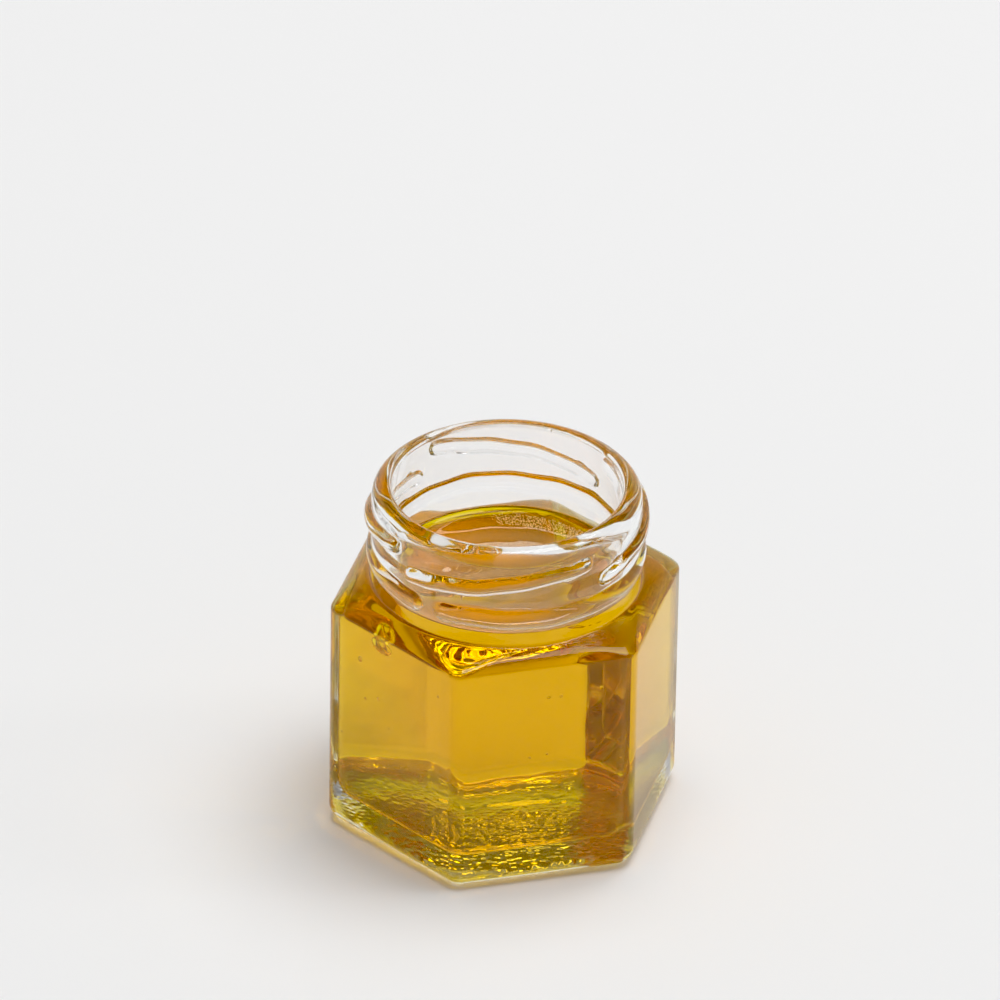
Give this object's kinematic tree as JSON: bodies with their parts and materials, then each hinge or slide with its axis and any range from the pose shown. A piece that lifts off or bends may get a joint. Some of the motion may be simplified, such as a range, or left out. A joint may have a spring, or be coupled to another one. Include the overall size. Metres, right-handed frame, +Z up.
{
  "type": "honey jar",
  "caption": "Open six-sided glass jar with a round twist-off neck, filled with clear golden honey up to the foot of the neck.",
  "frame": {"origin": "middle of the jar's base, on the plane it stands on", "axes": "+Z up along the jar's axis; one flat wall faces -Y and the walls' edges lie on +X and -X"},
  "size_m": [0.054, 0.0474, 0.0558],
  "materials": {
    "glass": "clear, polished",
    "honey": "clear, wet gloss"
  },
  "bodies": {
    "root": {"jar": "glass", "honey": "honey"}
  },
  "joints": []
}
